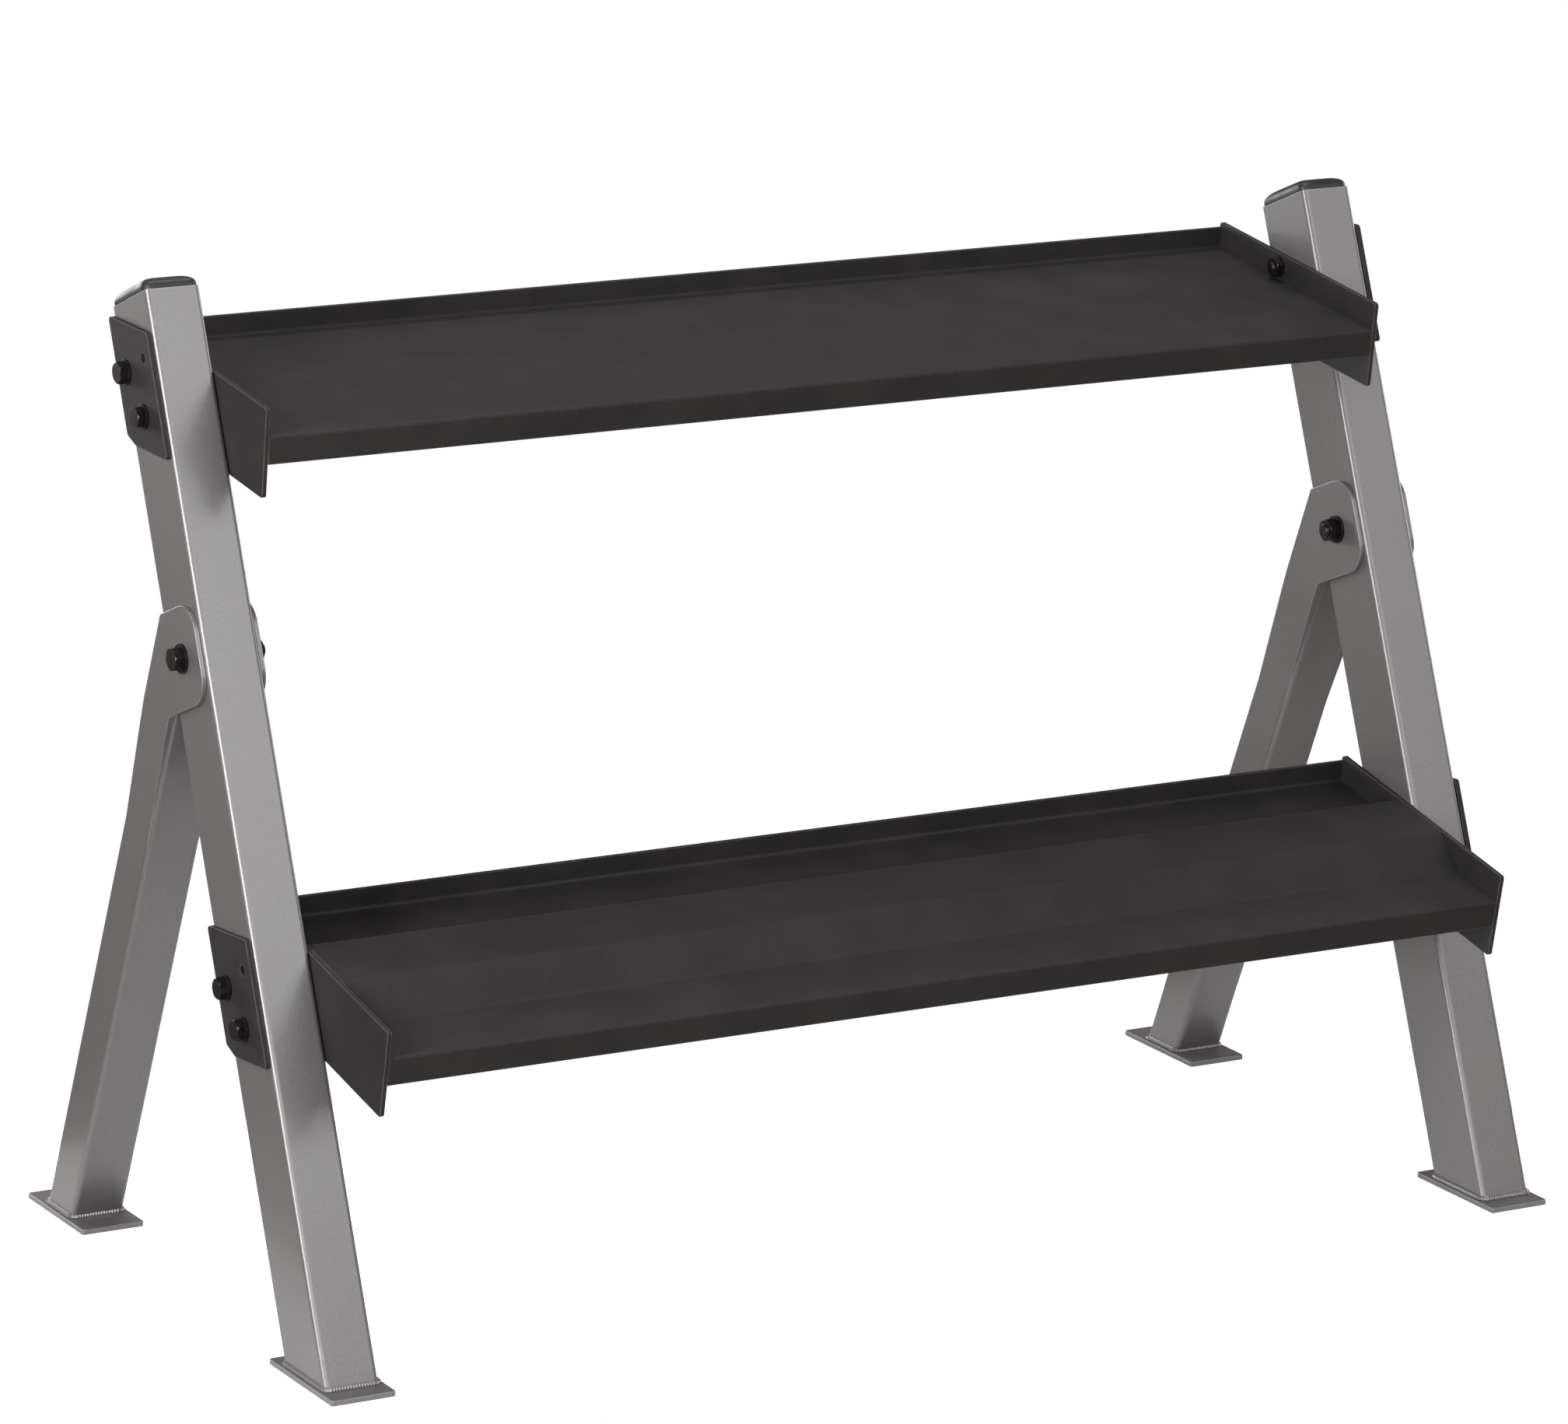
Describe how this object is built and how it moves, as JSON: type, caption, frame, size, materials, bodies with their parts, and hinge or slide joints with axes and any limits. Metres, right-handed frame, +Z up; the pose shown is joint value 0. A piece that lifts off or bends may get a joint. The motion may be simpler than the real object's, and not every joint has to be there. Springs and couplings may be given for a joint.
{
  "type": "dumbbell rack",
  "caption": "Free-standing dumbbell rack: A-shaped tube ends with a flat upper tray and a ridged lower tray bolted between them, both tilted to the front.",
  "frame": {"origin": "on the floor, in the middle of the rack's footprint: half-way between the two ends and between the front and rear feet", "axes": "+X to the right for a person who faces the rack, +Y from the front to the back, +Z up"},
  "size_m": [1.2498, 0.64, 0.8907],
  "materials": {
    "frame_silver": "metallic silver-grey powder coat",
    "shelf_black": "fine-textured satin black powder coat",
    "fastener_black": "black oxide steel",
    "cap_plastic": "matte black moulded plastic"
  },
  "bodies": {
    "root": {"upright_left": "frame_silver", "upright_cap_left": "cap_plastic", "rear_leg_left": "frame_silver", "front_foot_left": "frame_silver", "rear_foot_left": "frame_silver", "lap_cheek_outer_left": "frame_silver", "lap_cheek_inner_left": "frame_silver", "lap_bolt_left": "fastener_black", "lap_nut_left": "fastener_black", "lap_washer_outer_left": "fastener_black", "lap_washer_inner_left": "fastener_black", "upright_right": "frame_silver", "upright_cap_right": "cap_plastic", "rear_leg_right": "frame_silver", "front_foot_right": "frame_silver", "rear_foot_right": "frame_silver", "lap_cheek_outer_right": "frame_silver", "lap_cheek_inner_right": "frame_silver", "lap_bolt_right": "fastener_black", "lap_nut_right": "fastener_black", "lap_washer_outer_right": "fastener_black", "lap_washer_inner_right": "fastener_black", "upper_tray": "shelf_black", "upper_end_plate_left": "shelf_black", "upper_bracket_left": "shelf_black", "bolt_upper_rear_left": "fastener_black", "washer_upper_rear_left": "fastener_black", "nut_upper_rear_left": "fastener_black", "bolt_upper_front_left": "fastener_black", "washer_upper_front_left": "fastener_black", "nut_upper_front_left": "fastener_black", "upper_end_plate_right": "shelf_black", "upper_bracket_right": "shelf_black", "bolt_upper_rear_right": "fastener_black", "washer_upper_rear_right": "fastener_black", "nut_upper_rear_right": "fastener_black", "bolt_upper_front_right": "fastener_black", "washer_upper_front_right": "fastener_black", "nut_upper_front_right": "fastener_black", "lower_tray": "shelf_black", "lower_end_plate_left": "shelf_black", "lower_bracket_left": "shelf_black", "bolt_lower_rear_left": "fastener_black", "washer_lower_rear_left": "fastener_black", "nut_lower_rear_left": "fastener_black", "bolt_lower_front_left": "fastener_black", "washer_lower_front_left": "fastener_black", "nut_lower_front_left": "fastener_black", "lower_end_plate_right": "shelf_black", "lower_bracket_right": "shelf_black", "bolt_lower_rear_right": "fastener_black", "washer_lower_rear_right": "fastener_black", "nut_lower_rear_right": "fastener_black", "bolt_lower_front_right": "fastener_black", "washer_lower_front_right": "fastener_black", "nut_lower_front_right": "fastener_black"}
  },
  "joints": []
}
